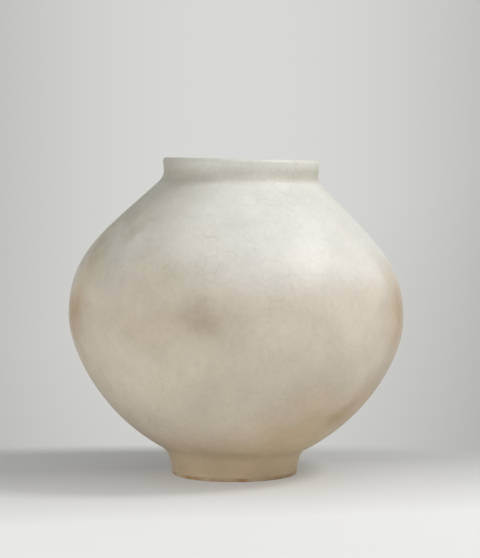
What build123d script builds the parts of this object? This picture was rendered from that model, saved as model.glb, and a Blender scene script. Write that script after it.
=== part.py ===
"""Moon jar of white porcelain: two thrown bowls joined rim to rim, a collar, a foot ring and its glaze.

Millimetres, +Z up. The origin is on the table, under the middle of the foot. The belly leans a little
to +X on its level foot, as it settled in the kiln, and the collar stands a little off the belly's axis.
"""
import os
from functools import cache
from math import radians, tan

from build123d import *

# Bowls: from the seam, where they are widest, up a slope to a crown that the mouth trims, down to a pole
BELLY_RADIUS = 219.6
UPPER_BOWL_RISE = 195.0
LOWER_BOWL_DROP = 196.0
CROWN_SLOPE = 46.0
CROWN_TRIM = 7.0
BELLY_OFFSET = 2.0
BELLY_LEAN = 2.0

# Fullness: the share of its length over which an outline keeps its direction at either end
UPPER_SEAM_FULLNESS = 0.45
UPPER_CROWN_FULLNESS = 0.6
LOWER_SEAM_FULLNESS = 0.335
LOWER_POLE_FULLNESS = 0.605

# Walls of the bowls, and the level base trimmed on the lower one
SEAM_WALL = 8.0
CROWN_WALL = 10.0
BASE_WALL = 8.0
BASE_TRIM = 4.0
BASE_HEIGHT = 16.0

# Liquid clay in the joints, and the ridge of it that the seam leaves inside
SLIP_LAYER = 1.2
RIDGE_HEIGHT = 2.5
RIDGE_HALF_WIDTH = 9.0

# Collar: its outline runs from the lip to a root hidden in the shoulder
COLLAR_RADIUS = 101.6
COLLAR_WALL = 8.0
COLLAR_WAIST = 1.5
COLLAR_OFFSET = 9.1
COLLAR_LEAN = 1.2
RIM_OVER_CROWN = 12.5
ROOT_UNDER_CROWN = 42.5
LIP_FLARE = 0.8
LIP_WALL = 6.4
LIP_ROUND = 4.0

# Foot ring: upright at the table, flaring up to the bowl
FOOT_RADIUS = 82.4
FOOT_WIDTH = 11.0
FOOT_TAPER = 3.0
FOOT_LAND = 5.0
FOOT_FLARE_RADIUS = 52.0
FOOT_FLARE_ANGLE = 45.0
FOOT_EDGE_ROUND = 1.5

# Glaze: thicker in the corner under the collar, and wiped off the foot near the table
GLAZE = 0.6
COLLAR_CORNER = 18.0
BARE_FOOT_EDGE = 4.0

# Heights and radii that follow from these sizes
SEAM_HEIGHT = BASE_HEIGHT - BASE_TRIM + LOWER_BOWL_DROP
RIM_HEIGHT = SEAM_HEIGHT + UPPER_BOWL_RISE + RIM_OVER_CROWN
ROOT_DEPTH = RIM_OVER_CROWN + ROOT_UNDER_CROWN
LIP_RADIUS = COLLAR_RADIUS + LIP_FLARE
CREST_RADIUS = LIP_RADIUS - LIP_WALL / 2
CROWN_RADIUS = COLLAR_RADIUS - COLLAR_WALL - CROWN_TRIM
BOWL_INSIDE_RADIUS = BELLY_RADIUS - SEAM_WALL
FOOT_INSIDE_RADIUS = FOOT_RADIUS - FOOT_WIDTH

# Cutting shapes are far wider than the jar, or reach a little past what they cut
WIDE = 4 * BELLY_RADIUS
REACH = LIP_ROUND + GLAZE

BELLY_FRAME = Location((BELLY_OFFSET, 0, SEAM_HEIGHT)) * Rotation(0, BELLY_LEAN, 0)
COLLAR_FRAME = Location((COLLAR_OFFSET, 0, RIM_HEIGHT)) * Rotation(0, COLLAR_LEAN, 0)


def turned(*edges):
    """Solid turned about the upright axis from a closed outline in the XZ plane."""
    return revolve(Plane.XZ * make_face(edges), Axis.Z)


def slab(bottom, top):
    """Level block, wider than the jar, between two heights."""
    return Pos(0, 0, (bottom + top) / 2) * Box(WIDE, WIDE, top - bottom)


def bowl_outline(radius, end, slope, seam_fullness, end_fullness):
    """Outline of a bowl, upright at the seam and on a slope at its end."""
    end_radius, height = end
    reach = (radius - end_radius) * end_fullness
    before_end = (end_radius + reach, height - reach * tan(radians(slope)))
    return Bezier((radius, 0), (radius, height * seam_fullness), before_end, end)


def double_bowl(radius, rise, drop):
    """Both bowls, filled, turned about the belly's axis with the seam at zero."""
    crown = (CROWN_RADIUS, rise)
    pole = (0, -drop)
    upper = bowl_outline(radius, crown, CROWN_SLOPE, UPPER_SEAM_FULLNESS, UPPER_CROWN_FULLNESS)
    lower = bowl_outline(radius, pole, 0, LOWER_SEAM_FULLNESS, LOWER_POLE_FULLNESS)
    return turned(upper, lower, Polyline(crown, (0, rise), pole))


@cache
def belly(skin=0.0):
    """Filled belly grown by a skin, leaning, with its underside trimmed level."""
    leaning = BELLY_FRAME * double_bowl(BELLY_RADIUS + skin, UPPER_BOWL_RISE + skin, LOWER_BOWL_DROP + skin)
    return leaning - slab(-WIDE, BASE_HEIGHT - skin)


@cache
def bowl_hollow(skin=0.0):
    """Space inside both bowls, shrunk by a skin, without the seam's ridge."""
    rise = UPPER_BOWL_RISE - CROWN_WALL - skin
    drop = LOWER_BOWL_DROP - BASE_TRIM - BASE_WALL - skin
    return double_bowl(BOWL_INSIDE_RADIUS - skin, rise, drop)


def ridge(skin=0.0):
    """Ring with a rounded inner side: the clay squeezed out of the seam, grown by a skin."""
    half_width = RIDGE_HALF_WIDTH + skin
    crest = (BOWL_INSIDE_RADIUS - RIDGE_HEIGHT - skin, 0)
    face = ThreePointArc((BOWL_INSIDE_RADIUS, -half_width), crest, (BOWL_INSIDE_RADIUS, half_width))
    back = Polyline(face @ 1, (BELLY_RADIUS, half_width), (BELLY_RADIUS, -half_width), face @ 0)
    return turned(face, back)


@cache
def belly_hollow(skin=0.0):
    """Space inside the leaning belly, narrowed by the seam's ridge, shrunk by a skin."""
    return BELLY_FRAME * (bowl_hollow(skin) - ridge(skin))


@cache
def collar_blank(skin=0.0):
    """Filled collar, from its root in the shoulder to the crest of the lip, grown by a skin."""
    root = (COLLAR_RADIUS + skin, -ROOT_DEPTH)
    waist = (COLLAR_RADIUS - COLLAR_WAIST + skin, -ROOT_DEPTH / 2)
    wall = ThreePointArc(root, waist, (LIP_RADIUS + skin, -LIP_ROUND))
    lip = EllipticalCenterArc((CREST_RADIUS, -LIP_ROUND), LIP_WALL / 2 + skin, LIP_ROUND + skin)
    inside = Polyline(lip @ 1, (0, skin), (0, -ROOT_DEPTH), root)
    return COLLAR_FRAME * turned(wall, lip, inside)


@cache
def mouth_core(skin=0.0):
    """Space inside the collar and down through the crown, shrunk by a skin, open past the lip."""
    root = (COLLAR_RADIUS - COLLAR_WALL - skin, -ROOT_DEPTH)
    lip = EllipticalCenterArc(
        (CREST_RADIUS, -LIP_ROUND), LIP_WALL / 2 + skin, LIP_ROUND + skin, start_angle=90
    )
    wall = Line(lip @ 1, root)
    inside = Polyline(root, (0, -ROOT_DEPTH), (0, REACH), (CREST_RADIUS, REACH), lip @ 0)
    return COLLAR_FRAME * turned(lip, wall, inside)


@cache
def foot_blank(skin=0.0):
    """Filled foot: an upright land, a flare, then straight up inside the bowl, grown by a skin."""
    flare_centre = (FOOT_RADIUS + FOOT_FLARE_RADIUS, FOOT_LAND)
    flare = CenterArc(flare_centre, FOOT_FLARE_RADIUS - skin, 180, -FOOT_FLARE_ANGLE)
    top = flare @ 1
    inside = Polyline(
        top, (top.X, SEAM_HEIGHT), (0, SEAM_HEIGHT), (0, 0), (FOOT_RADIUS + skin, 0), flare @ 0
    )
    return turned(flare, inside)


@cache
def foot_core(skin=0.0):
    """Space inside the foot ring, narrowing up to the base, shrunk by a skin."""
    bottom = FOOT_INSIDE_RADIUS - skin
    top = bottom - FOOT_TAPER
    wall = Polyline((bottom, 0), (top, BASE_HEIGHT), (top, SEAM_HEIGHT), (0, SEAM_HEIGHT))
    return turned(wall, Polyline(wall @ 1, (0, 0), wall @ 0))


@cache
def bowl_walls():
    """Walls of both bowls, before they are parted at the seam."""
    return belly() - BELLY_FRAME * bowl_hollow()


def lower_bowl():
    """Lower bowl with its level base, up to the underside of the seam's slip."""
    return bowl_walls() & BELLY_FRAME * slab(-WIDE, -SLIP_LAYER / 2)


def upper_bowl():
    """Upper bowl from the top of the seam's slip, with the mouth cut through its crown."""
    return (bowl_walls() & BELLY_FRAME * slab(SLIP_LAYER / 2, WIDE)) - mouth_core()


def seam_slip():
    """Slip between the two rims, and the ridge squeezed out of it over both inner walls."""
    layer = bowl_walls() & BELLY_FRAME * slab(-SLIP_LAYER / 2, SLIP_LAYER / 2)
    return layer + BELLY_FRAME * (ridge() & bowl_hollow())


def neck_collar():
    """Collar with its underside cut to the shoulder, clear of it by the slip."""
    return collar_blank() - belly(SLIP_LAYER) - mouth_core()


def neck_slip():
    """Slip between the collar and the shoulder."""
    return (collar_blank() & belly(SLIP_LAYER)) - belly() - mouth_core()


def foot_ring():
    """Foot ring with its top cut to the bowl, clear of it by the slip, and a rounded standing edge."""
    ring = foot_blank() - foot_core() - belly(SLIP_LAYER)
    return fillet(ring.edges().group_by(Axis.Z)[0], FOOT_EDGE_ROUND)


def foot_slip():
    """Slip between the foot ring and the bowl."""
    return (foot_blank() & belly(SLIP_LAYER)) - foot_core() - belly()


def jar_outside(skin=0.0):
    """Everything inside the jar's outer surface, grown by a skin."""
    return belly(skin) + collar_blank(skin) + foot_blank(skin)


def glazed_outside():
    """The outside with its glaze, which fills the corner where the collar meets the shoulder."""
    outside = jar_outside(GLAZE)
    corner = outside.edges().filter_by(GeomType.BSPLINE).filter_by_position(Axis.Z, SEAM_HEIGHT, RIM_HEIGHT)
    return fillet(corner, COLLAR_CORNER)


def outer_glaze():
    """Glaze over the outside, from the crest of the lip to the bare edge of the foot."""
    mouth = COLLAR_FRAME * Cylinder(CREST_RADIUS, 2 * REACH)
    return glazed_outside() - jar_outside() - slab(-WIDE, BARE_FOOT_EDGE) - mouth


def inner_glaze():
    """Glaze over the inside, from the crest of the lip down over the whole hollow."""
    return (belly_hollow() + mouth_core()) - (belly_hollow(GLAZE) + mouth_core(GLAZE))


def base_glaze():
    """Glaze under the base and down the foot's inner wall, to the bare edge."""
    recess = foot_core() - belly()
    glazed_recess = foot_core(GLAZE) - belly(GLAZE)
    return recess - glazed_recess - slab(-WIDE, BARE_FOOT_EDGE)


PIECES = (
    lower_bowl,
    upper_bowl,
    seam_slip,
    neck_collar,
    neck_slip,
    foot_ring,
    foot_slip,
    outer_glaze,
    inner_glaze,
    base_glaze,
)

os.makedirs("parts", exist_ok=True)
for piece in PIECES:
    export_step(piece(), f"parts/{piece.__name__}.step")
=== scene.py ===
"""Moon jar of white porcelain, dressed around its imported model.

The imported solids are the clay: two bowls, a collar, a foot ring and the slip in their joints. This
script adds the glaze that shows, with the marks of the wheel and the kiln, and a plain studio.
"""
import logging
from collections.abc import Callable
from dataclasses import asdict, dataclass, fields, replace
from enum import Enum
from functools import partial
from math import ceil, cos, hypot, pi, radians, sin, tan
from typing import Any

import bpy
import numpy as np
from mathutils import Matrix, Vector


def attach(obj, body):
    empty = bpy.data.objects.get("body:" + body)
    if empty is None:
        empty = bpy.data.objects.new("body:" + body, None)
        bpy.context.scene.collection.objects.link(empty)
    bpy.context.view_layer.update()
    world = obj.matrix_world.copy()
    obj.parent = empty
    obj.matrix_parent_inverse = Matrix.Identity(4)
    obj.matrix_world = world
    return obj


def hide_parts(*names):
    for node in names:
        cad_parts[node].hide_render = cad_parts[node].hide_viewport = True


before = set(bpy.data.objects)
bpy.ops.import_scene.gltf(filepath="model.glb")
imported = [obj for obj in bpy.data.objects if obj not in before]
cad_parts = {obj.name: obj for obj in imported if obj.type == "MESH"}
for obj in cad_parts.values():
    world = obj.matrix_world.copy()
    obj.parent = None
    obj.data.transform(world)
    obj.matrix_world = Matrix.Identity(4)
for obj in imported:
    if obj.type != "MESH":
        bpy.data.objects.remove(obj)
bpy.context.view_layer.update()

LOG = logging.getLogger("moon_jar")
BODY = "root"
MM = 0.001

# Points that a curve is measured with, and the fewest rows of a short wall
DENSE = 4001
FEWEST_ROWS = 4
# Shares of the way from the seam to look for a bowl's corner in, and those over the base
CORNER_SEARCH = (0.2, 0.98)
OVER_BASE = (1.0, 0.4)
# Mean of a noise, and the values that most of it lies between
NOISE_MEAN = 0.5
NOISE_RANGE = (0.3, 0.7)

# Kinds of node, and settings of them, that are used often
MATH = "ShaderNodeMath"
VECTOR = "ShaderNodeVectorMath"
WHOLE = "FunctionNodeIntegerMath"
RANGE = "ShaderNodeMapRange"
MIX = "ShaderNodeMix"
NOISE = "ShaderNodeTexNoise"
CELLS = "ShaderNodeTexVoronoi"
PARTS = "ShaderNodeSeparateXYZ"
BUMP = "ShaderNodeBump"
PRINCIPLED = "ShaderNodeBsdfPrincipled"
SAMPLE = "GeometryNodeSampleIndex"
ROW_VALUE = "GeometryNodeInputNamedAttribute"
RGBA = {"data_type": "RGBA"}
SOFT = {"interpolation_type": "SMOOTHSTEP"}

Point = tuple[float, float, float]
Span = tuple[float, float]
Pair = tuple[np.ndarray, np.ndarray]
Lines = tuple[np.ndarray, np.ndarray, dict[str, int]]
Node = bpy.types.Node
Socket = bpy.types.NodeSocket
Adder = Callable[..., Node]


class Bowl(Enum):
    """The two bowls of the belly."""

    UPPER = "upper"
    LOWER = "lower"


class Side(Enum):
    """The two sides of the jar's outline, as its lean shows them."""

    LEFT = -1
    RIGHT = 1


class Face(Enum):
    """The faces of the jar that are glazed."""

    OUTSIDE = "outside"
    INSIDE = "inside"
    UNDERSIDE = "underside"


def linear(colour: str) -> tuple[float, float, float, float]:
    """Turn an sRGB hex colour to linear.

    Args:
        colour: Six hex digits after a hash sign.

    Returns:
        Red, green, blue and a full alpha.
    """
    parts = [int(colour[i : i + 2], 16) / 255 for i in (1, 3, 5)]
    red, green, blue = (c / 12.92 if c <= 0.04045 else ((c + 0.055) / 1.055) ** 2.4 for c in parts)
    return red, green, blue, 1.0


def smooth(value: np.ndarray, low: float, high: float) -> np.ndarray:
    """Shares that rise smoothly from 0 to 1 as a value rises from a low one to a high one."""
    share = np.clip((value - low) / (high - low), 0, 1)
    return share * share * (3 - 2 * share)


def add_node(
    tree: bpy.types.NodeTree, kind: str, *values: Any, named: dict[str, Any] | None = None, **settings: Any
) -> Node:
    """Add one node to a tree, with its settings, values and links.

    Args:
        tree: Tree that takes the node.
        kind: Type name of the node.
        values: Value, socket or node for each of the first inputs in use.
        named: Value, socket or node for other inputs, by name.
        settings: Properties of the node, set before its inputs.

    Returns:
        The new node.
    """
    node = tree.nodes.new(kind)
    for name, value in settings.items():
        setattr(node, name, value)
    given = list(zip((socket for socket in node.inputs if socket.enabled), values))
    given += [(node.inputs[name], value) for name, value in (named or {}).items()]
    for socket, value in given:
        if isinstance(value, Node):
            value = next(output for output in value.outputs if output.enabled)
        if isinstance(value, Socket):
            tree.links.new(value, socket)
        else:
            socket.default_value = value
    return node


def emptied(owner: bpy.types.Material | bpy.types.World) -> Adder:
    """Empty the node tree of a material or of the world.

    Args:
        owner: The material or the world.

    Returns:
        The function that adds a node to its tree.
    """
    owner.use_nodes = True
    owner.node_tree.nodes.clear()
    return partial(add_node, owner.node_tree)


def new_object(name: str, data: bpy.types.ID) -> bpy.types.Object:
    """Put a mesh, a lamp or a camera in the scene.

    Args:
        name: Name of the object.
        data: What it shows.

    Returns:
        The object, at the origin.
    """
    item = bpy.data.objects.new(name, data)
    bpy.context.scene.collection.objects.link(item)
    return item


def travel(line: np.ndarray) -> np.ndarray:
    """Distance travelled along a line at each of its points."""
    return np.concatenate(([0.0], np.cumsum(np.hypot(*np.diff(line, axis=0).T))))


def rounded(line: np.ndarray, corner: int, reach: float) -> np.ndarray:
    """Round one corner of a line, as glaze rounds it.

    Args:
        line: Points of the line.
        corner: Number of the point at the corner.
        reach: How far the rounding goes on each side.

    Returns:
        The line with the same number of points.
    """
    along = travel(line)
    away = np.abs(along - along[corner])
    inside = np.flatnonzero(away < reach)
    first, last = inside[0] - 1, inside[-1] + 1
    past = np.sign(np.arange(first, last + 1) - corner)
    share = (away[first] + past * away[first : last + 1])[:, None]
    share = share / share[-1]
    curve = (1 - share) ** 2 * line[first] + 2 * share * (1 - share) * line[corner] + share**2 * line[last]
    return np.vstack((line[:first], curve, line[last + 1 :]))


def joined(*spans: np.ndarray) -> np.ndarray:
    """Join spans of a line end to end, where each starts at the end of the one before."""
    return np.vstack((spans[0], *(span[1:] for span in spans[1:])))


@dataclass(frozen=True)
class Stance:
    """Where a turned piece stands in the plane of the jar's lean, and how far it leans to +X."""

    x: float
    z: float
    lean: float

    def place(self, across: np.ndarray, up: np.ndarray) -> np.ndarray:
        """Take points from the piece's own axes to the jar's.

        Args:
            across: Distances to +X from the piece's axis.
            up: Distances along the piece's axis.

        Returns:
            An x and a z for each point.
        """
        x = self.x + across * cos(self.lean) + up * sin(self.lean)
        z = self.z - across * sin(self.lean) + up * cos(self.lean)
        return np.stack(np.broadcast_arrays(x, z), axis=-1)

    def read(self, points: np.ndarray) -> Pair:
        """Take points, an x and a z each, from the jar's axes to distances across and up the piece."""
        x, z = points[..., 0] - self.x, points[..., 1] - self.z
        return x * cos(self.lean) - z * sin(self.lean), x * sin(self.lean) + z * cos(self.lean)


@dataclass(frozen=True)
class BowlPair:
    """Two bowls set rim to rim, each with an outline that is upright at the seam.

    The upper outline runs up to the crown on a slope, and the lower one down to a level pole.
    """

    radius: float = 219.6 * MM
    rise: float = 195.0 * MM
    drop: float = 196.0 * MM
    crown_radius: float = 86.6 * MM
    crown_slope: float = radians(46)
    upper_fullness: Span = (0.45, 0.6)
    lower_fullness: Span = (0.335, 0.605)
    stance: Stance = Stance(2.0 * MM, 208.0 * MM, radians(2.0))

    def grown(self, skin: float) -> "BowlPair":
        """Both bowls grown by a skin."""
        return replace(self, radius=self.radius + skin, rise=self.rise + skin, drop=self.drop + skin)

    def outline(self, bowl: Bowl, along: np.ndarray) -> Pair:
        """Points of one bowl's outline in the belly's own axes.

        Args:
            bowl: Which bowl.
            along: Shares of the way from the seam, at 0, to the crown or the pole, at 1.

        Returns:
            The radii, and the heights over the seam.
        """
        (at_seam, at_end), end, top, slope = self.lower_fullness, 0.0, -self.drop, 0.0
        if bowl is Bowl.UPPER:
            (at_seam, at_end), end = self.upper_fullness, self.crown_radius
            top, slope = self.rise, self.crown_slope
        reach = (self.radius - end) * at_end
        back = 1 - along
        near_seam, near_end, last = 3 * back**2 * along, 3 * back * along**2, along**3
        radius = self.radius * (back**3 + near_seam) + near_end * (end + reach) + last * end
        height = near_seam * top * at_seam + near_end * (top - reach * tan(slope)) + last * top
        return radius, height

    def side(self, bowl: Bowl, along: np.ndarray, side: Side) -> np.ndarray:
        """Points of one bowl's outline on one side of the jar, as an x and a z each."""
        radius, up = self.outline(bowl, along)
        return self.stance.place(side.value * radius, up)

    def measured(self, bowl: Bowl, start: float, end: float) -> Pair:
        """Many shares of the way from the seam, and the distance travelled along the outline to each."""
        along = np.linspace(start, end, DENSE)
        return along, travel(np.stack(self.outline(bowl, along), axis=-1))

    def evenly(self, bowl: Bowl, start: float, end: float, step: float) -> np.ndarray:
        """Spread points evenly along one bowl's outline.

        Args:
            bowl: Which bowl.
            start: Share of the way from the seam where the points start.
            end: Share where they end.
            step: Distance between points.

        Returns:
            The points' shares of the way.
        """
        along, travelled = self.measured(bowl, start, end)
        count = max(2, ceil(travelled[-1] / step) + 1)
        return np.interp(np.linspace(0, travelled[-1], count), travelled, along)

    def before(self, bowl: Bowl, end: float, distance: float) -> float:
        """Share of the way from the seam at a distance before another such share."""
        along, travelled = self.measured(bowl, 0, end)
        return float(np.interp(travelled[-1] - distance, travelled, along))


@dataclass(frozen=True)
class Collar:
    """Upright collar with a slight waist and a rounded lip, measured down from the crest of its lip."""

    radius: float = 101.6 * MM
    wall: float = 8.0 * MM
    waist: float = 1.5 * MM
    depth: float = 55.0 * MM
    lip_radius: float = 102.4 * MM
    lip_wall: float = 6.4 * MM
    lip_round: float = 4.0 * MM
    stance: Stance = Stance(9.1 * MM, 415.5 * MM, radians(1.2))
    # Rough lengths outside, over the lip and inside, which set the numbers of rows
    rise: float = 22.0 * MM
    lip_turn: float = 16.0 * MM
    bore: float = 50.0 * MM

    def outside(self, up: np.ndarray) -> np.ndarray:
        """Radius of the outer wall, an arc through the root, the waist and the lip.

        Args:
            up: Heights over the crest, all negative.

        Returns:
            The radii.
        """
        waist = (self.radius - self.waist, -self.depth / 2)
        points = np.array([(self.radius, -self.depth), waist, (self.lip_radius, -self.lip_round)])
        squares = (points**2).sum(axis=1)
        lines = 2 * (points[1:] - points[:-1])
        centre = np.linalg.solve(lines, squares[1:] - squares[:-1])
        bend = hypot(*(points[0] - centre))
        return centre[0] - np.sqrt(bend**2 - (up - centre[1]) ** 2)

    def inside(self, up: np.ndarray) -> np.ndarray:
        """Radius of the straight inner wall, which narrows to its root, at heights over the crest."""
        lip, root = self.lip_radius - self.lip_wall, self.radius - self.wall
        return np.interp(up, (-self.depth, -self.lip_round), (root, lip))

    def lip(self, angles: np.ndarray, skin: float, side: Side) -> np.ndarray:
        """Points round the lip, from its outside at angle 0 over the crest to its inside at a half turn.

        Args:
            angles: Angles of the points.
            skin: Glaze over the clay.
            side: Which side of the jar.

        Returns:
            An x and a z for each point.
        """
        crest = self.lip_radius - self.lip_wall / 2
        across = crest + (self.lip_wall / 2 + skin) * np.cos(angles)
        up = -self.lip_round + (self.lip_round + skin) * np.sin(angles)
        return self.stance.place(side.value * across, up)


@dataclass(frozen=True)
class Foot:
    """Upright foot ring that flares up to the bowl outside and narrows up to the base inside."""

    radius: float = 82.4 * MM
    width: float = 11.0 * MM
    taper: float = 3.0 * MM
    land: float = 5.0 * MM
    flare: float = 52.0 * MM
    base: float = 16.0 * MM
    bare_edge: float = 4.0 * MM
    # Rough lengths outside and inside, which set the numbers of rows
    rise: float = 36.0 * MM
    bore: float = 26.0 * MM

    @property
    def flare_centre(self) -> Span:
        """Radius and height of the middle of the flare's arc."""
        return self.radius + self.flare, self.land

    def outside(self, height: np.ndarray, skin: np.ndarray, side: Side) -> np.ndarray:
        """Points up the upright land and the flare over it.

        Args:
            height: Heights of the points.
            skin: Glaze over the clay at each point.
            side: Which side of the jar.

        Returns:
            An x and a z for each point.
        """
        across, land = self.flare_centre
        climb = np.clip(height - land, 0, None)
        radius = across - np.sqrt((self.flare - skin) ** 2 - climb**2)
        return np.stack((side.value * radius, height), axis=-1)

    def inside(self, height: np.ndarray) -> np.ndarray:
        """Radius of the inner wall at some heights."""
        return self.radius - self.width - self.taper * np.clip(height / self.base, 0, 1)


@dataclass(frozen=True)
class JarSection:
    """The jar cut along the plane in which it leans, drawn as points on its glaze or on its clay.

    The skin is the glaze over the clay, and is 0 on the clay itself. The step is the distance between
    points on long walls, and the fine one is that near corners and on short walls.
    """

    skin: float
    step: float
    fine: float
    bowls: BowlPair = BowlPair()
    collar: Collar = Collar()
    foot: Foot = Foot()
    seam_wall: float = 8.0 * MM
    crown_wall: float = 10.0 * MM
    base_wall: float = 8.0 * MM
    base_trim: float = 4.0 * MM
    ridge_height: float = 2.5 * MM
    ridge_half_width: float = 9.0 * MM
    settling: float = 28.0 * MM
    roll_height: float = 0.35 * MM
    roll_climb: float = 1.6 * MM
    roll_width: float = 0.9 * MM

    @property
    def hull(self) -> BowlPair:
        """Outside of the two bowls, over their glaze."""
        return self.bowls.grown(self.skin)

    @property
    def hollow(self) -> BowlPair:
        """Space inside the two bowls and their glaze."""
        radius, rise = self.bowls.radius - self.seam_wall, self.bowls.rise - self.crown_wall
        drop = self.bowls.drop - self.base_trim - self.base_wall
        return replace(self.bowls, radius=radius, rise=rise, drop=drop).grown(-self.skin)

    @property
    def near(self) -> int:
        """Number of rows where a bowl nears a corner."""
        return ceil(self.settling / self.fine) + 1

    def short(self, length: float) -> int:
        """Number of rows on a short wall."""
        return max(FEWEST_ROWS, ceil(length / self.fine))

    def lines(self, face: Face) -> Lines:
        """Left and right outlines of one face, and the numbers of the rows at its corners and seam."""
        drawn = {Face.OUTSIDE: self.outside, Face.INSIDE: self.inside, Face.UNDERSIDE: self.underside}
        return drawn[face]()

    def collar_corner(self, side: Side, inner: bool) -> float:
        """Find where the upper bowl meets the collar's wall.

        Args:
            side: Which side of the jar.
            inner: Whether it is inside the jar.

        Returns:
            Share of the way from the seam to the crown.
        """
        along = np.linspace(*CORNER_SEARCH, DENSE)
        bowls = self.hollow if inner else self.hull
        across, up = self.collar.stance.read(bowls.side(Bowl.UPPER, along, side))
        up = np.clip(up, -self.collar.depth, -self.collar.lip_round)
        wall = self.collar.inside(up) - self.skin if inner else self.collar.outside(up) + self.skin
        return float(np.interp(0, wall - side.value * across, along))

    def foot_corner(self, side: Side) -> float:
        """Find where the lower bowl meets the foot's flare.

        Args:
            side: Which side of the jar.

        Returns:
            Share of the way from the seam to the pole.
        """
        along = np.linspace(*CORNER_SEARCH, DENSE)
        points = self.hull.side(Bowl.LOWER, along, side) * (side.value, 1)
        across, up = (points - self.foot.flare_centre).T
        inside = np.flatnonzero(np.hypot(across, up) < self.foot.flare - self.skin)[-1]
        return float(along[inside])

    def edge_roll(self, climb: np.ndarray) -> np.ndarray:
        """Thickness of glaze near the bare edge, where it draws up into a roll.

        Args:
            climb: Distances over the bare edge.

        Returns:
            The thickness at each distance.
        """
        if not self.skin:
            return np.zeros(len(climb))
        rise = np.clip(climb / self.skin, 0, 1)
        roll = self.roll_height * np.exp(-(((climb - self.roll_climb) / self.roll_width) ** 2))
        return self.skin * np.sqrt(1 - (1 - rise) ** 2) + roll * rise

    def ridge(self, up: np.ndarray) -> np.ndarray:
        """Radius of the rounded ridge of slip inside the seam.

        Args:
            up: Heights over the seam.

        Returns:
            The radii, with no limit beyond the ridge.
        """
        height, width = self.ridge_height + self.skin, self.ridge_half_width + self.skin
        bend = (width**2 + height**2) / (2 * height)
        foot = self.bowls.radius - self.seam_wall
        within = np.clip(np.abs(up), 0, width)
        round_face = foot - height + bend - np.sqrt(bend**2 - within**2)
        return np.where(np.abs(up) < width, round_face, np.inf)

    def outside(self) -> Lines:
        """Draw the outside, from the bare edge of the foot to the crest of the lip.

        Returns:
            The left and right outlines, and the numbers of the rows at the corners and the seam.
        """
        bowls, foot, collar, near = self.hull, self.foot, self.collar, self.near
        foot_corners = {side: self.foot_corner(side) for side in Side}
        collar_corners = {side: self.collar_corner(side, inner=False) for side in Side}
        low = bowls.before(Bowl.LOWER, min(foot_corners.values()), self.settling)
        high = bowls.before(Bowl.UPPER, min(collar_corners.values()), self.settling)
        lower = bowls.evenly(Bowl.LOWER, low, 0, self.step)
        upper = bowls.evenly(Bowl.UPPER, 0, high, self.step)
        rows = ceil(foot.rise / self.fine) + 1
        lines = {}
        for side, share in foot_corners.items():
            corner = bowls.side(Bowl.LOWER, np.array(share), side)
            height = np.linspace(foot.bare_edge, corner[1], rows)
            flare = foot.outside(height, self.edge_roll(height - foot.bare_edge), side)
            flare[-1] = corner
            shoulder = bowls.side(Bowl.UPPER, np.linspace(high, collar_corners[side], near), side)
            start = collar.stance.read(shoulder[-1])[1]
            heights = np.linspace(start, -collar.lip_round, self.short(collar.rise))
            lines[side] = joined(
                flare,
                bowls.side(Bowl.LOWER, np.linspace(share, low, near), side),
                bowls.side(Bowl.LOWER, lower, side),
                bowls.side(Bowl.UPPER, upper, side),
                shoulder,
                collar.stance.place(side.value * (collar.outside(heights) + self.skin), heights),
                collar.lip(np.linspace(0, pi / 2, self.short(collar.lip_turn)), self.skin, side),
            )
        seam = rows + near + len(lower) - 3
        numbers = {"foot": rows - 1, "seam": seam, "collar": seam + len(upper) + near - 2}
        return lines[Side.LEFT], lines[Side.RIGHT], numbers

    def inside(self) -> Lines:
        """Draw the inside, from the crest of the lip down to the floor of the hollow.

        Returns:
            The left and right outlines, and the numbers of the rows at the corner and the seam.
        """
        hollow, collar, near = self.hollow, self.collar, self.near
        corners = {side: self.collar_corner(side, inner=True) for side in Side}
        high = hollow.before(Bowl.UPPER, min(corners.values()), self.settling)
        upper = hollow.evenly(Bowl.UPPER, high, 0, self.step)
        lower = hollow.evenly(Bowl.LOWER, 0, 1, self.step)
        lip, bore = self.short(collar.lip_turn), self.short(collar.bore)
        lines = {}
        for side, share in corners.items():
            ceiling = hollow.side(Bowl.UPPER, np.linspace(share, high, near), side)
            end = collar.stance.read(ceiling[0])[1]
            heights = np.linspace(-collar.lip_round, end, bore)
            walls = []
            for bowl, along in ((Bowl.UPPER, upper), (Bowl.LOWER, lower)):
                radius, up = hollow.outline(bowl, along)
                radius = np.minimum(radius, self.ridge(up))
                walls.append(hollow.stance.place(side.value * radius, up))
            lines[side] = joined(
                collar.lip(np.linspace(pi / 2, pi, lip), self.skin, side),
                collar.stance.place(side.value * (collar.inside(heights) - self.skin), heights),
                ceiling,
                *walls,
            )
        numbers = {"collar": lip + bore - 2, "seam": lip + bore + near + len(upper) - 4}
        return lines[Side.LEFT], lines[Side.RIGHT], numbers

    def underside(self) -> Lines:
        """Draw the inside of the foot, from the middle of the base out and down to the bare edge.

        Returns:
            The left and right outlines, and the number of the row at the corner.
        """
        foot = self.foot
        corner = float(foot.inside(np.array(foot.base))) - self.skin
        reach = np.linspace(0, corner, ceil(corner / self.step) + 1)
        lines = {}
        for side in Side:
            bowl = self.hull.side(Bowl.LOWER, np.linspace(*OVER_BASE, DENSE), side) * (side.value, 1)
            height = np.maximum(np.interp(reach, *bowl.T), foot.base - self.skin)
            base = np.stack((side.value * reach, height), axis=-1)
            heights = np.linspace(height[-1], foot.bare_edge, self.short(foot.bore))
            radius = foot.inside(heights) - self.skin
            lines[side] = joined(base, np.stack((side.value * radius, heights), axis=-1))
        return lines[Side.LEFT], lines[Side.RIGHT], {"corner": len(reach) - 1}


@dataclass(frozen=True)
class WheelMarks:
    """What the wheel and the hand leave on a turned wall. Sizes are in metres."""

    ring_spacing: float
    ring_depth: float
    ring_patch: float
    unevenness: float
    unevenness_size: float
    seam_ridge: float
    seed: int


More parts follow.
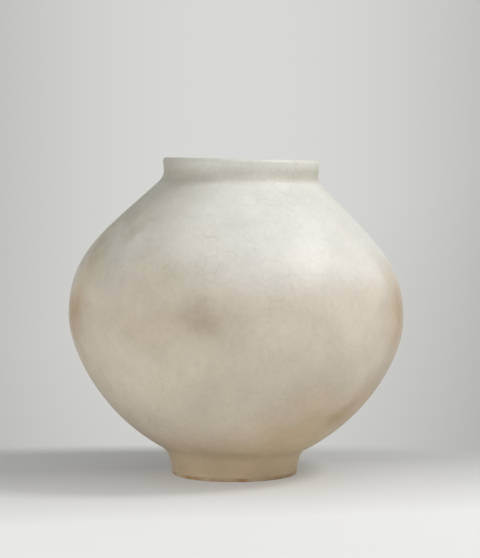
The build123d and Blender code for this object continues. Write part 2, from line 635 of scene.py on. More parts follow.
class TurnedWall:
    """Geometry Nodes tree that turns a skin between its two outlines and gives it the wheel's marks.

    Each row is a circle across the jar from the left outline to the right one, as a turn of the wheel
    leaves it, so a leaning belly needs no more than its two outlines.
    """

    ROW_VALUES = ("along", "wall", "seam")
    SHARP_ANGLE = radians(42)
    WELD = 0.002 * MM
    NOISE_DETAILS = {"unevenness_size": 2.0, "ring_patch": 1.0}
    RING_WANDER = 4.0
    RING_SHOWN = (0.38, 0.66)

    def __init__(self) -> None:
        """Build the tree once for all skins."""
        self.tree = bpy.data.node_groups.new("turned_wall", "GeometryNodeTree")
        self.tree.is_modifier = True
        inputs = {"outlines": "Geometry", "rows": "Int", "columns": "Int", "material": "Material"}
        inputs |= {mark.name: "Int" if mark.type is int else "Float" for mark in fields(WheelMarks)}
        for name, kind in inputs.items():
            self.tree.interface.new_socket(name, in_out="INPUT", socket_type="NodeSocket" + kind)
        self.tree.interface.new_socket("Geometry", in_out="OUTPUT", socket_type="NodeSocketGeometry")
        self.add = partial(add_node, self.tree)
        self.given = self.add("NodeGroupInput").outputs
        self.finish(self.mark(self.turn()))

    def turn(self) -> Node:
        """Turn the rows into one closed skin.

        Returns:
            The node that gives the skin, with the rows' values on its points.
        """
        add = self.add
        outlines, rows, columns = (self.given[name] for name in ("outlines", "rows", "columns"))
        stop = add(WHOLE, columns, 1, operation="ADD")
        grid = add("GeometryNodeMeshGrid", named={"Vertices X": stop, "Vertices Y": rows})
        index = add("GeometryNodeInputIndex")
        row = add(WHOLE, index, rows, operation="MODULO")
        column = add(WHOLE, index, rows, operation="DIVIDE")
        other = add(WHOLE, row, rows, operation="ADD")
        place = add("GeometryNodeInputPosition")
        left, right = (add(SAMPLE, outlines, place, end, data_type="FLOAT_VECTOR") for end in (row, other))
        share = add(MATH, column, columns, operation="DIVIDE")
        angle = add(MATH, share, 2 * pi, operation="MULTIPLY")
        along = add(MATH, angle, operation="COSINE")
        aside = add(MATH, angle, operation="SINE")
        middle = add(MIX, 0.5, left, right, data_type="VECTOR")
        half = add(VECTOR, right, middle, operation="SUBTRACT")
        size = add(VECTOR, half, operation="LENGTH")
        depth = add(MATH, size, aside, operation="MULTIPLY")
        across = add(VECTOR, half, named={"Scale": along}, operation="SCALE")
        deep = add("ShaderNodeCombineXYZ", named={"Y": depth})
        spot = add(VECTOR, middle, across, operation="ADD")
        spot = add(VECTOR, spot, deep, operation="ADD")
        skin = add("GeometryNodeSetPosition", named={"Geometry": grid, "Position": spot})
        for name in self.ROW_VALUES:
            value = add(SAMPLE, outlines, add(ROW_VALUE, name), row)
            stored = {"Geometry": skin, "Name": name, "Value": value}
            skin = add("GeometryNodeStoreNamedAttribute", named=stored)
        skin = add("GeometryNodeMergeByDistance", named={"Geometry": skin, "Distance": self.WELD})
        faces = add("GeometryNodeInputMeshEdgeNeighbors")
        loose = add("FunctionNodeCompare", faces, 0, data_type="INT", operation="EQUAL")
        return add("GeometryNodeDeleteGeometry", skin, loose, domain="EDGE")

    def mark(self, skin: Node) -> Node:
        """Move the skin's points by the rings, the unevenness and the seam.

        Args:
            skin: Node that gives the turned skin.

        Returns:
            The node that gives the marked skin.
        """
        add, given = self.add, self.given
        along, wall, seam = (add(ROW_VALUE, name) for name in self.ROW_VALUES)
        place = add("GeometryNodeInputPosition")
        part = add(PARTS, place).outputs
        noises = []
        for size, detail in self.NOISE_DETAILS.items():
            scale = add(MATH, 1.0, given[size], operation="DIVIDE")
            noises.append(add(NOISE, place, given["seed"], scale, detail, noise_dimensions="4D"))
        uneven, patch = noises
        turn = add(MATH, part["Y"], part["X"], operation="ARCTAN2")
        climb = add(MATH, along, given["ring_spacing"], operation="DIVIDE")
        phase = add(MATH, climb, 2 * pi, turn, operation="MULTIPLY_ADD")
        wander = add(MATH, uneven, self.RING_WANDER, phase, operation="MULTIPLY_ADD")
        ring = add(MATH, wander, operation="SINE")
        shown = add(RANGE, patch, *self.RING_SHOWN, **SOFT)
        for factor in (shown, given["ring_depth"]):
            ring = add(MATH, ring, factor, operation="MULTIPLY")
        swell = add(MATH, uneven, given["unevenness"], ring, operation="MULTIPLY_ADD")
        swell = add(MATH, swell, wall, operation="MULTIPLY")
        line = add(MATH, seam, shown, operation="MULTIPLY")
        swell = add(MATH, line, given["seam_ridge"], swell, operation="MULTIPLY_ADD")
        normal = add("GeometryNodeInputNormal")
        offset = add(VECTOR, normal, named={"Scale": swell}, operation="SCALE")
        return add("GeometryNodeSetPosition", named={"Geometry": skin, "Offset": offset})

    def finish(self, skin: Node) -> None:
        """Smooth the skin but for its hidden edges, drop the rows' values and give it its material.

        Args:
            skin: Node that gives the marked skin.
        """
        add = self.add
        skin = add("GeometryNodeSetShadeSmooth", skin, domain="FACE")
        turn = add("GeometryNodeInputMeshEdgeAngle").outputs["Unsigned Angle"]
        sharp = add("FunctionNodeCompare", turn, self.SHARP_ANGLE, operation="GREATER_THAN")
        skin = add("GeometryNodeSetShadeSmooth", skin, sharp, False, domain="EDGE")
        for name in self.ROW_VALUES:
            skin = add("GeometryNodeRemoveAttribute", named={"Geometry": skin, "Name": name})
        skin = add("GeometryNodeRealizeInstances", skin)
        skin = add("GeometryNodeSetMaterial", named={"Geometry": skin, "Material": self.given["material"]})
        add("NodeGroupOutput", skin)

    def make(
        self, name: str, rows: np.ndarray, columns: int, marks: WheelMarks, material: bpy.types.Material
    ) -> bpy.types.Object:
        """Make one skin, and keep it as a plain mesh.

        Args:
            name: Name of the piece.
            rows: Left and right ends of each row, its share of the wheel's marks and that of the seam.
            columns: Points round each row.
            marks: The wheel's marks on it.
            material: Its material.

        Returns:
            The piece, at the origin, with no modifier.
        """
        left, right, wall, seam = rows[:, :2], rows[:, 2:4], rows[:, 4], rows[:, 5]
        mesh = bpy.data.meshes.new(name + "_outlines")
        mesh.from_pydata(np.insert(np.vstack((left, right)), 1, 0.0, axis=1).tolist(), [], [])
        for key, values in zip(self.ROW_VALUES, (travel(right), wall, seam)):
            mesh.attributes.new(key, "FLOAT", "POINT").data.foreach_set("value", np.tile(values, 2))
        sizes = asdict(marks) | {"rows": len(rows), "columns": columns, "material": material}
        maker = new_object(name + "_maker", mesh)
        modifier = maker.modifiers.new("make", "NODES")
        modifier.node_group = self.tree
        for item in self.tree.interface.items_tree:
            if item.in_out == "INPUT" and item.name in sizes:
                modifier[item.identifier] = sizes[item.name]
        depsgraph = bpy.context.evaluated_depsgraph_get()
        plain = bpy.data.meshes.new_from_object(maker.evaluated_get(depsgraph), depsgraph=depsgraph)
        bpy.data.objects.remove(maker)
        bpy.data.meshes.remove(mesh)
        plain.name = name
        return new_object(name, plain)


@dataclass(frozen=True)
class StainAndPaintedLight:
    """Patch of colour on the glaze: real staining in some cases, painted light and shade in others.

    Its fields are its middle, reach, colour, strength and width over height.
    """

    middle: Point
    reach: float
    colour: str
    strength: float
    squat: float = 1.0


@dataclass(frozen=True)
class Ground:
    """What the layers of a glaze are laid on: its tree, and each place as it is and as a noise moves it."""

    add: Adder
    place: Socket
    drift: Node
    moved: Node
    height: Socket


@dataclass(frozen=True)
class MilkyGlaze:
    """Milky feldspar glaze over white porcelain, fired in a wood kiln.

    It gives the eye a soft ivory white with a low gloss, cloudier and warmer towards the foot, with
    staining that has come up through it, a faint net of crackle and small iron specks. Its colour
    also holds painted shade on the collar and on the darker sides of the belly, and painted light
    where the lamps and the floor would brighten it.
    """

    name: str
    upper: str = "#EEECE4"
    lower: str = "#DCD1BF"
    foot: str = "#D8C1A0"
    seam: str = "#CABBA3"
    # Colour of the painted shade over the collar
    collar_shade: str = "#BCB7A0"
    crackle: str = "#A08B6C"
    speck: str = "#6E5238"
    warm_span: Span = (219.0 * MM, 315.0 * MM)
    foot_span: Span = (108.0 * MM, 18.0 * MM)
    seam_height: float = 215.0 * MM
    seam_reach: float = 34.0 * MM
    seam_strength: float = 0.12
    # Painted shade sets in at the collar's root and eases off at the lip, which catches the light
    collar_shade_span: Span = (381.0 * MM, 391.0 * MM)
    collar_shade_strength: float = 0.55
    lip_light_span: Span = (397.0 * MM, 409.0 * MM)
    lip_shade_strength: float = 0.1
    # Patches of real staining, and of painted light and painted shade
    stains_and_painted_light: tuple[StainAndPaintedLight, ...] = ()
    stain_and_light_roughness: float = 0.12
    drift: float = 70.0 * MM
    drift_detail: Span = (6.0, 0.6)
    cloud_detail: float = 3.0
    cloud: float = 48.0 * MM
    cloud_depth: float = 0.11
    mottle: float = 6.0 * MM
    mottle_depth: float = 0.05
    # A real crackle line is under 0.1 mm wide: it is drawn wider here so that it shows
    crackle_cell: float = 17.0 * MM
    crackle_line: float = 0.5 * MM
    crackle_bend: float = 17.0 * MM / 3
    crackle_patch: Span = (0.42, 0.7)
    crackle_strength: float = 0.3
    speck_cell: float = 24.0 * MM
    speck_radius: float = 0.9 * MM
    speckless: float = 0.6
    ripple: float = 5.0 * MM
    ripple_detail: float = 1.0
    ripple_depth: float = 0.05 * MM
    pit_cell: float = 7.0 * MM
    pit_radius: float = 0.7 * MM
    pit_depth: float = 0.12 * MM
    pit_strength: float = 0.6
    roughness: Span = (0.36, 0.50)
    ior: float = 1.5

    def material(self) -> bpy.types.Material:
        """Build the material.

        Returns:
            The material, on Object coordinates.
        """
        material = bpy.data.materials.new(self.name)
        add = emptied(material)
        place = add("ShaderNodeTexCoord").outputs["Object"]
        drift = add(NOISE, place, 1 / self.drift, *self.drift_detail)
        moved = add(VECTOR, drift.outputs["Color"], (NOISE_MEAN,) * 3, operation="SUBTRACT")
        moved = add(VECTOR, moved, (self.drift,) * 3, place, operation="MULTIPLY_ADD")
        ground = Ground(add, place, drift, moved, add(PARTS, moved).outputs["Z"])
        colour, stained_and_light_painted = self.stained_and_light_painted(ground, self.shaded(ground))
        colour = self.lined(ground, self.clouded(ground, colour))
        rough = add(RANGE, drift, *NOISE_RANGE, *self.roughness)
        rough = add(MATH, stained_and_light_painted, self.stain_and_light_roughness, rough, operation="MULTIPLY_ADD")
        surface = {"Base Color": colour, "Roughness": rough, "IOR": self.ior, "Normal": self.bumped(ground)}
        add("ShaderNodeOutputMaterial", add(PRINCIPLED, named=surface))
        return material

    def shaded(self, ground: Ground) -> Node:
        """Warm the white down the jar, tan it at the foot, and paint shade on the collar, less at the lip.

        Args:
            ground: What the layer is laid on.

        Returns:
            The colour.
        """
        share = ground.add(RANGE, ground.height, *self.warm_span, **SOFT)
        colour = ground.add(MIX, share, linear(self.lower), linear(self.upper), **RGBA)
        low = ground.add(RANGE, ground.height, *self.foot_span, **SOFT)
        colour = ground.add(MIX, low, colour, linear(self.foot), **RGBA)
        # Painted shade over the collar, from its root up, easing off to a little at the lip's crest
        height = ground.add(PARTS, ground.place).outputs["Z"]
        strength = ground.add(RANGE, height, *self.lip_light_span, self.collar_shade_strength, self.lip_shade_strength, **SOFT)
        share = ground.add(RANGE, height, *self.collar_shade_span, 0.0, strength, **SOFT)
        return ground.add(MIX, share, colour, linear(self.collar_shade), **RGBA)

    def stained_and_light_painted(self, ground: Ground, colour: Node) -> tuple[Node, Node]:
        """Add the band along the seam and the patches of colour, with the drift breaking up their edges.

        The patches are real staining, and painted light and painted shade.

        Args:
            ground: What the layer is laid on.
            colour: Colour so far.

        Returns:
            The colour, and how strongly the band and the patches cover each place.
        """
        add = ground.add
        away = add(MATH, ground.height, self.seam_height, operation="SUBTRACT")
        away = add(MATH, away, operation="ABSOLUTE")
        masks = [(away, self.seam_reach, self.seam, self.seam_strength)]
        # Patches of real staining, painted light and painted shade alike
        for stain_and_light in self.stains_and_painted_light:
            away = add(VECTOR, ground.moved, stain_and_light.middle, operation="SUBTRACT")
            away = add(VECTOR, away, (1.0, 1.0, stain_and_light.squat), operation="MULTIPLY")
            away = add(VECTOR, away, operation="LENGTH")
            masks.append((away, stain_and_light.reach, stain_and_light.colour, stain_and_light.strength))
        total: Node | float = 0.0
        for away, reach, tint, strength in masks:
            mask = add(RANGE, away, reach, 0.0, 0.0, strength, **SOFT)
            mask = add(MATH, mask, ground.drift, operation="MULTIPLY")
            mask = add(MATH, mask, 1 / NOISE_MEAN, operation="MULTIPLY", use_clamp=True)
            colour = add(MIX, mask, colour, linear(tint), **RGBA)
            total = add(MATH, total, mask, operation="MAXIMUM")
        return colour, total

    def clouded(self, ground: Ground, colour: Node) -> Node:
        """Make the white cloudy, at two sizes.

        Args:
            ground: What the layer is laid on.
            colour: Colour so far.

        Returns:
            The colour.
        """
        for size, depth in ((self.cloud, self.cloud_depth), (self.mottle, self.mottle_depth)):
            noise = ground.add(NOISE, ground.place, 1 / size, self.cloud_detail)
            shade = ground.add(RANGE, noise, *NOISE_RANGE, 1 - depth, 1.0)
            colour = ground.add(MIX, 1.0, colour, shade, blend_type="MULTIPLY", **RGBA)
        return colour

    def lined(self, ground: Ground, colour: Node) -> Node:
        """Add the net of crackle, stronger in patches of the drift, and the iron specks.

        Args:
            ground: What the layer is laid on.
            colour: Colour so far.

        Returns:
            The colour.
        """
        add, place = ground.add, ground.place
        bend = add(NOISE, place, 1 / self.crackle_cell).outputs["Color"]
        bent = add(VECTOR, bend, (self.crackle_bend,) * 3, place, operation="MULTIPLY_ADD")
        cells = add(CELLS, bent, 1 / self.crackle_cell, feature="DISTANCE_TO_EDGE").outputs["Distance"]
        line = add(RANGE, cells, self.crackle_line / self.crackle_cell, 0.0)
        patch = add(RANGE, ground.drift, *self.crackle_patch, 0.0, self.crackle_strength)
        line = add(MATH, line, patch, operation="MULTIPLY")
        colour = add(MIX, line, colour, linear(self.crackle), **RGBA)
        spots = add(CELLS, place, 1 / self.speck_cell).outputs
        chance = add("ShaderNodeSeparateColor", spots["Color"]).outputs[0]
        reach = add(RANGE, chance, self.speckless, 1.0, 0.0, self.speck_radius / self.speck_cell)
        speck = add(RANGE, spots["Distance"], reach, 0.0)
        return add(MIX, speck, colour, linear(self.speck), **RGBA)

    def bumped(self, ground: Ground) -> Node:
        """Give the surface its slight ripple and its pinholes.

        Args:
            ground: What the layer is laid on.

        Returns:
            The normal.
        """
        add, place = ground.add, ground.place
        ripple = add(NOISE, place, 1 / self.ripple, self.ripple_detail)
        wavy = add(BUMP, named={"Height": ripple, "Distance": self.ripple_depth})
        pits = add(CELLS, place, 1 / self.pit_cell).outputs["Distance"]
        depth = add(RANGE, pits, 0.0, self.pit_radius / self.pit_cell)
        holes = {"Height": depth, "Distance": self.pit_depth, "Strength": self.pit_strength, "Normal": wavy}
        return add(BUMP, named=holes)


@dataclass(frozen=True)
class BareClay:
    """Unglazed porcelain, trimmed on the wheel and toasted by the fire.

    It gives the eye a dry buff surface with a fine grain, turning orange where the flame reached it.
    """

    name: str
    pale: str = "#D8C6A8"
    toasted: str = "#BE9668"
    dark: str = "#7A5A3C"
    patch: float = 22.0 * MM
    patch_detail: float = 4.0
    patch_range: Span = (0.36, 0.66)
    # Real clay grain is under 0.2 mm: it is drawn coarser here so that it shows
    grain: float = 0.9 * MM
    grain_depth: float = 0.18 * MM
    grain_shade: Span = (0.78, 1.1)
    grit_cell: float = 5.0 * MM
    grit_radius: float = 0.5 * MM
    roughness: Span = (0.72, 0.92)

    def material(self) -> bpy.types.Material:
        """Build the material.

        Returns:
            The material, on Object coordinates.
        """
        material = bpy.data.materials.new(self.name)
        add = emptied(material)
        place = add("ShaderNodeTexCoord").outputs["Object"]
        patch = add(NOISE, place, 1 / self.patch, self.patch_detail)
        share = add(RANGE, patch, *self.patch_range)
        colour = add(MIX, share, linear(self.pale), linear(self.toasted), **RGBA)
        grain = add(NOISE, place, 1 / self.grain)
        shade = add(RANGE, grain, 0.0, 1.0, *self.grain_shade)
        colour = add(MIX, 1.0, colour, shade, blend_type="MULTIPLY", **RGBA)
        grit = add(CELLS, place, 1 / self.grit_cell).outputs["Distance"]
        spot = add(RANGE, grit, self.grit_radius / self.grit_cell, 0.0)
        colour = add(MIX, spot, colour, linear(self.dark), **RGBA)
        rough = add(RANGE, grain, 0.0, 1.0, *self.roughness)
        bump = add(BUMP, named={"Height": grain, "Distance": self.grain_depth})
        shader = add(PRINCIPLED, named={"Base Color": colour, "Roughness": rough, "Normal": bump})
        add("ShaderNodeOutputMaterial", shader)
        return material


def seen_rays(add: Adder) -> Node:
    """Tell the rays that show a backdrop, straight, mirrored or through glass, from those that light.

    Args:
        add: Function that adds a node to the tree of a material or of the world.

    Returns:
        A node that gives 1 for those rays.
    """
    path = add("ShaderNodeLightPath").outputs
    seen = path["Is Camera Ray"]
    for kind in ("Is Glossy Ray", "Is Transmission Ray"):
        seen = add(MATH, seen, path[kind], operation="MAXIMUM")
    return seen


@dataclass(frozen=True)
class TableTop:
    """Smooth matt white table top, which ends softly behind the jar.

    It gives the eye a pale floor that keeps the jar's shadow, with painted light on it: lighter at the
    front, darker towards the back and the left, and a faint glow for seen rays that pales the shadow.
    """

    name: str = "matt_white_table"
    # Painted light falloff: the front colour goes over to the darker back one, and darker to the left
    front: str = "#F9F9F7"
    back: str = "#C6C6C3"
    shading: Span = (-0.30, 0.12)
    shading_tilt: float = 0.2
    shading_wander: float = 0.1
    cloud: float = 400.0 * MM
    roughness: float = 0.7
    glow: float = 0.3
    middle: Point = (0.0, -1.6, 0.0)
    fade: Span = (1.775, 1.885)

    def material(self) -> bpy.types.Material:
        """Build the material.

        Returns:
            The material, on Object coordinates.
        """
        material = bpy.data.materials.new(self.name)
        add = emptied(material)
        place = add("ShaderNodeTexCoord").outputs["Object"]
        noise = add(NOISE, place, 1 / self.cloud)
        part = add(PARTS, place).outputs
        # Painted light falloff with depth and towards the left
        depth = add(MATH, noise, self.shading_wander, part["Y"], operation="MULTIPLY_ADD")
        depth = add(MATH, part["X"], -self.shading_tilt, depth, operation="MULTIPLY_ADD")
        share = add(RANGE, depth, *self.shading)
        colour = add(MIX, share, linear(self.front), linear(self.back), **RGBA)
        top = add(PRINCIPLED, named={"Base Color": colour, "Roughness": self.roughness})
        # Painted light: a faint glow for seen rays, which pales the jar's shadow on the table
        pale = add("ShaderNodeEmission", colour)
        seen = add(MATH, seen_rays(add), self.glow, operation="MULTIPLY")
        top = add("ShaderNodeMixShader", seen, top, pale)
        away = add(VECTOR, place, self.middle, operation="DISTANCE")
        gone = add(RANGE, away, *self.fade, **SOFT)
        clear = add("ShaderNodeBsdfTransparent")
        add("ShaderNodeOutputMaterial", add("ShaderNodeMixShader", gone, top, clear))
        return material


@dataclass
class ClayBody:
    """Bowls, collar and foot of fired porcelain, and the slip in their joints, as the solids have them."""

    clay: BareClay = BareClay("porcelain_bare_fired")
    slip: BareClay = BareClay("porcelain_slip_luted", pale="#CFBB9B", toasted="#B4946C", patch=9.0 * MM)
    clay_nodes: tuple[str, ...] = ("lower_bowl", "upper_bowl", "neck_collar", "foot_ring")
    slip_nodes: tuple[str, ...] = ("seam_slip", "neck_slip", "foot_slip")

    def dress(self) -> None:
        """Give the solids their finishes."""
        for finish, nodes in ((self.clay, self.clay_nodes), (self.slip, self.slip_nodes)):
            material = finish.material()
            for name in nodes:
                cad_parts[name].material_slots[0].material = material
                LOG.info("%s: %s", name, material.name)


@dataclass
class GlazeSkin:
    """Closed skin of glaze over one face of the jar.

    Each spacing is the distance between rows and that near corners, for the face that shows and for
    the one on the clay. Each fade is where the wheel's marks set in, from the first row and the last.
    """

    name: str
    node: str
    face: Face
    columns: int
    spacing: Span
    hidden_spacing: Span
    pools: dict[str, float]
    fades: tuple[Span, Span]
    marks: WheelMarks
    finish: MilkyGlaze
    seam_width: float = 5.0 * MM
    thickness: float = 0.6 * MM

    def rows(self) -> np.ndarray:
        """Draw the rows of the closed skin, with glaze pooled in its corners.

        Returns:
            The left and right ends of each row, its share of the wheel's marks and that of the seam.
        """
        left, right, numbers = JarSection(self.thickness, *self.spacing).lines(self.face)
        for corner, reach in self.pools.items():
            left, right = (rounded(line, numbers[corner], reach) for line in (left, right))
        along = travel(right)
        first, last = self.fades
        wall = smooth(along, *first) * smooth(along[-1] - along, *last)
        from_seam = along - along[numbers["seam"]] if "seam" in numbers else np.full(len(along), np.inf)
        seam = np.exp(-((from_seam / self.seam_width) ** 2))
        shown = np.column_stack((left, right, wall, seam))
        bare = np.hstack(JarSection(0.0, *self.hidden_spacing).lines(self.face)[:2])
        return np.vstack((shown, np.pad(bare[::-1], ((0, 0), (0, 2))), shown[:1]))

    def build(self, wheel: TurnedWall) -> None:
        """Build the glaze, dress it and tell the frame about it.

        Args:
            wheel: Tree that makes the skin.
        """
        piece = wheel.make(self.name, self.rows(), self.columns, self.marks, self.finish.material())
        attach(piece, BODY)
        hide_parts(self.node)
        LOG.info("%s: %d faces", piece.name, len(piece.data.polygons))


# Real staining, with patches of painted light and painted shade among it, each marked below
OUTER_STAINS_AND_PAINTED_LIGHT = (
    # Painted shade on the upper left, away from the lamps, tinted grey-green
    StainAndPaintedLight((-0.155, -0.088, 0.333), 0.122, "#ACA689", 0.8),
    # Painted shade on the left of the collar's root
    StainAndPaintedLight((-0.085, -0.070, 0.388), 0.100, "#BFBBA8", 0.58),
    # Painted shade on the front of the shoulder, left of where the key light falls
    StainAndPaintedLight((-0.068, -0.168, 0.280), 0.110, "#D4CEBA", 0.38),
    # Painted highlight, widening the bright zone around the key's glint on the upper right
    StainAndPaintedLight((0.150, -0.130, 0.305), 0.095, "#F2EEE4", 0.2),
    # Painted light from the floor on the lower left
    StainAndPaintedLight((-0.140, -0.130, 0.120), 0.130, "#E6DCC8", 0.65),
    # Painted light from the floor near the bottom left
    StainAndPaintedLight((-0.080, -0.107, 0.061), 0.085, "#E2D6C4", 0.45),
    StainAndPaintedLight((-0.105, -0.178, 0.266), 0.115, "#C2B196", 0.27, 1.5),
    StainAndPaintedLight((-0.090, -0.198, 0.212), 0.140, "#BDA789", 0.38, 2.8),
    StainAndPaintedLight((-0.205, -0.075, 0.215), 0.064, "#BA9058", 0.60),
    StainAndPaintedLight((-0.041, -0.215, 0.222), 0.042, "#A08164", 0.44, 1.4),
    StainAndPaintedLight((0.205, -0.075, 0.195), 0.072, "#BE9868", 0.52),
    StainAndPaintedLight((0.095, -0.130, 0.078), 0.105, "#C6A368", 0.42),
    StainAndPaintedLight((0.136, -0.093, 0.089), 0.036, "#A88852", 0.4),
    StainAndPaintedLight((0.055, -0.205, 0.195), 0.085, "#E2DCCC", 0.36),
    StainAndPaintedLight((-0.035, -0.195, 0.148), 0.110, "#C9BBA2", 0.3),
    # Painted light on the right of the belly, where the key falls
    StainAndPaintedLight((0.170, -0.130, 0.190), 0.105, "#EAE1D1", 0.5),
    # Painted light from the floor at the bottom front
    StainAndPaintedLight((0.005, -0.135, 0.062), 0.070, "#E6DAC4", 0.2),
    # Painted light at the bottom right front, over the tan near the foot
    StainAndPaintedLight((0.065, -0.105, 0.045), 0.070, "#E2CDA6", 0.4),
    StainAndPaintedLight((0.060, 0.190, 0.120), 0.110, "#C9B288", 0.5),
    StainAndPaintedLight((-0.170, 0.110, 0.260), 0.090, "#D3C5AC", 0.4),
    StainAndPaintedLight((-0.182, -0.050, 0.305), 0.060, "#A8966A", 0.45),
    StainAndPaintedLight((-0.198, -0.080, 0.262), 0.060, "#DCC496", 0.4),
    # Painted light from the floor on the lower left edge
    StainAndPaintedLight((-0.190, -0.085, 0.125), 0.075, "#EBDCC0", 0.5),
    # Painted light on the crown, where light falls from above
    StainAndPaintedLight((0.033, -0.130, 0.362), 0.100, "#F8F6F0", 0.4),
    # Painted light on the right front of the belly, where the key falls
    StainAndPaintedLight((0.106, -0.172, 0.229), 0.075, "#EEE6D8", 0.36),
    # Painted shade on the right edge, in part a warm brown tint
    StainAndPaintedLight((0.213, -0.050, 0.240), 0.065, "#BCA688", 0.45),
    StainAndPaintedLight((0.172, -0.072, 0.102), 0.070, "#BE985A", 0.46),
)

GLAZES = (
    # From the bare edge of the foot to the crest of the lip
    GlazeSkin(
        name="glaze_outside",
        node="outer_glaze",
        face=Face.OUTSIDE,
        columns=352,
        spacing=(2.6 * MM, 1.5 * MM),
        hidden_spacing=(16.0 * MM, 8.0 * MM),
        pools={"foot": 6.0 * MM, "collar": 7.8 * MM},
        fades=((2.0 * MM, 14.0 * MM), (3.0 * MM, 16.0 * MM)),
        marks=WheelMarks(
            ring_spacing=8.5 * MM,
            ring_depth=0.06 * MM,
            ring_patch=70.0 * MM,
            unevenness=1.0 * MM,
            unevenness_size=105.0 * MM,
            seam_ridge=0.5 * MM,
            seed=11,
        ),
        finish=MilkyGlaze("feldspar_glaze_fired_milky", stains_and_painted_light=OUTER_STAINS_AND_PAINTED_LIGHT),
    ),
    # From the crest of the lip to the floor of the hollow
    GlazeSkin(
        name="glaze_inside",
        node="inner_glaze",
        face=Face.INSIDE,
        columns=256,
        spacing=(3.0 * MM, 1.5 * MM),
        hidden_spacing=(16.0 * MM, 8.0 * MM),
        pools={"collar": 2.0 * MM},
        fades=((4.0 * MM, 26.0 * MM), (1.0 * MM, 30.0 * MM)),
        marks=WheelMarks(
            ring_spacing=13.0 * MM,
            ring_depth=0.22 * MM,
            ring_patch=160.0 * MM,
            unevenness=0.5 * MM,
            unevenness_size=90.0 * MM,
            seam_ridge=0.4 * MM,
            seed=23,
        ),
        finish=MilkyGlaze(
            "feldspar_glaze_poured_inside",
            lower="#DDD3C0",
            foot="#D2C3A8",
            stains_and_painted_light=(StainAndPaintedLight((0.0, 0.0, 0.030), 0.090, "#C9B592", 0.5),),
        ),
        seam_width=8.0 * MM,
    ),
    # From the middle of the base down the inner wall of the foot, to its bare edge
    GlazeSkin(
        name="glaze_under_base",
        node="base_glaze",
        face=Face.UNDERSIDE,
        columns=192,
        spacing=(1.5 * MM, 1.5 * MM),
        hidden_spacing=(6.0 * MM, 6.0 * MM),
        pools={"corner": 5.0 * MM},
        fades=((1.0 * MM, 12.0 * MM), (1.0 * MM, 8.0 * MM)),
        marks=WheelMarks(
            ring_spacing=6.0 * MM,
            ring_depth=0.1 * MM,
            ring_patch=60.0 * MM,
            unevenness=0.4 * MM,
            unevenness_size=50.0 * MM,
            seam_ridge=0.0,
            seed=37,
        ),
        finish=MilkyGlaze(
            "feldspar_glaze_under_base",
            lower="#D5C8B0",
            foot="#CDBD9F",
            stains_and_painted_light=(StainAndPaintedLight((0.02, -0.01, 0.015), 0.05, "#B89E74", 0.5),),
        ),
    ),
)


@dataclass(frozen=True)
class Lamp:
    """Soft square lamp: its name, place, side and power."""

    name: str
    place: Point
    size: float
    power: float

    def hang(self, aim: Point) -> None:
        """Hang the lamp where only its light shows.

        Args:
            aim: Point that it is turned to.
        """
        light = bpy.data.lights.new(self.name, "AREA")
        light.size, light.energy = self.size, self.power
        holder = new_object(self.name, light)
        holder.location = self.place
        holder.rotation_euler = (Vector(aim) - Vector(self.place)).to_track_quat("-Z", "Y").to_euler()
        holder.visible_camera = False


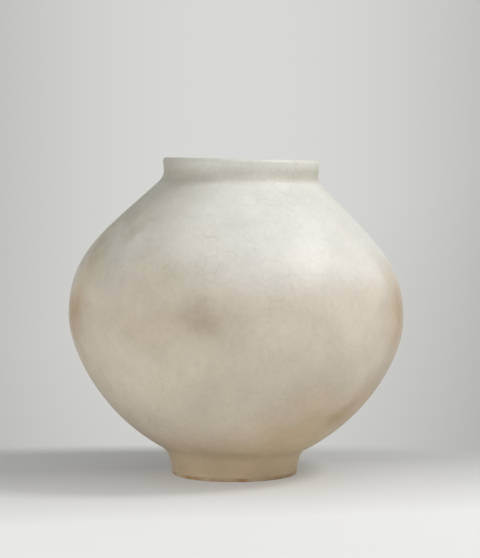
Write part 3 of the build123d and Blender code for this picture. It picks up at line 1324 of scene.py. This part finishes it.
@dataclass
class Studio:
    """Table, lamps, backdrop and camera."""

    table: TableTop = TableTop()
    table_size: float = 4.4
    camera_place: Point = (0.0073, -2.7, 0.415)
    camera_pitch: float = radians(3.34)
    lens: float = 132.06
    key: Lamp = Lamp("key", (1.93, -0.48, 2.58), 0.7, 41.6)
    fill: Lamp = Lamp("fill", (-1.28, -0.98, 0.10), 0.9, 8.7)
    lamp_aim: Point = (0.0, 0.0, 0.22)
    room_white: str = "#FFFFFF"
    room_lit: float = 0.635
    room_dark: float = 0.12
    room_aim: Point = (0.64, -0.60, 0.48)
    backdrop_middle: str = "#D8D8D6"
    backdrop_edge: str = "#BDBEB9"
    backdrop_reach: float = 0.125
    backdrop_low: float = 0.85
    backdrop_fall: Span = (-0.05, -0.19)
    backdrop_tilt: float = 0.38

    def build(self) -> None:
        """Set up the studio."""
        self.lay_table()
        for lamp in (self.key, self.fill):
            lamp.hang(self.lamp_aim)
        self.light_room()
        self.set_camera()
        bpy.context.scene.view_settings.view_transform = "Standard"

    def lay_table(self) -> None:
        """Lay the table top under the foot."""
        x, y, z = self.table.middle
        half = self.table_size / 2
        corners = [(x + a * half, y + b * half, z) for a, b in ((-1, -1), (1, -1), (1, 1), (-1, 1))]
        mesh = bpy.data.meshes.new("table_top")
        mesh.from_pydata(corners, [], [(0, 1, 2, 3)])
        mesh.materials.append(self.table.material())
        new_object("table_top", mesh)

    def light_room(self) -> None:
        """Light the room from one side, and show a backdrop with painted light, lighter behind the jar."""
        world = bpy.data.worlds.new("studio_room")
        add = emptied(world)
        way = add("ShaderNodeTexCoord").outputs["Generated"]
        part = add(PARTS, way).outputs
        aside = add(MATH, part["X"], self.backdrop_reach, operation="DIVIDE")
        share = add(MATH, aside, aside, operation="MULTIPLY", use_clamp=True)
        grey = add(MIX, share, linear(self.backdrop_middle), linear(self.backdrop_edge), **RGBA)
        # Painted light on the backdrop: greyer to the sides and darker towards the lower right
        height = add(MATH, part["X"], -self.backdrop_tilt, part["Z"], operation="MULTIPLY_ADD")
        fall = add(RANGE, height, *self.backdrop_fall, 1.0, self.backdrop_low)
        backdrop = add("ShaderNodeBackground", grey, fall)
        facing = add(VECTOR, way, Vector(self.room_aim).normalized(), operation="DOT_PRODUCT")
        level = add(RANGE, facing, -1.0, 1.0, self.room_dark, self.room_lit)
        light = add("ShaderNodeBackground", linear(self.room_white), level)
        shader = add("ShaderNodeMixShader", seen_rays(add), light, backdrop)
        add("ShaderNodeOutputWorld", shader)
        bpy.context.scene.world = world

    def set_camera(self) -> None:
        """Stand the camera in front of the jar."""
        lens = bpy.data.cameras.new("camera")
        lens.lens = self.lens
        camera = new_object("camera", lens)
        camera.location = self.camera_place
        camera.rotation_euler = (pi / 2 - self.camera_pitch, 0.0, 0.0)
        bpy.context.scene.camera = camera


def main() -> None:
    """Build the jar's pieces in order, then the studio."""
    logging.basicConfig(level=logging.INFO, format="%(message)s")
    ClayBody().dress()
    wheel = TurnedWall()
    for glaze in GLAZES:
        glaze.build(wheel)
    Studio().build()


if __name__ == "__main__":
    main()
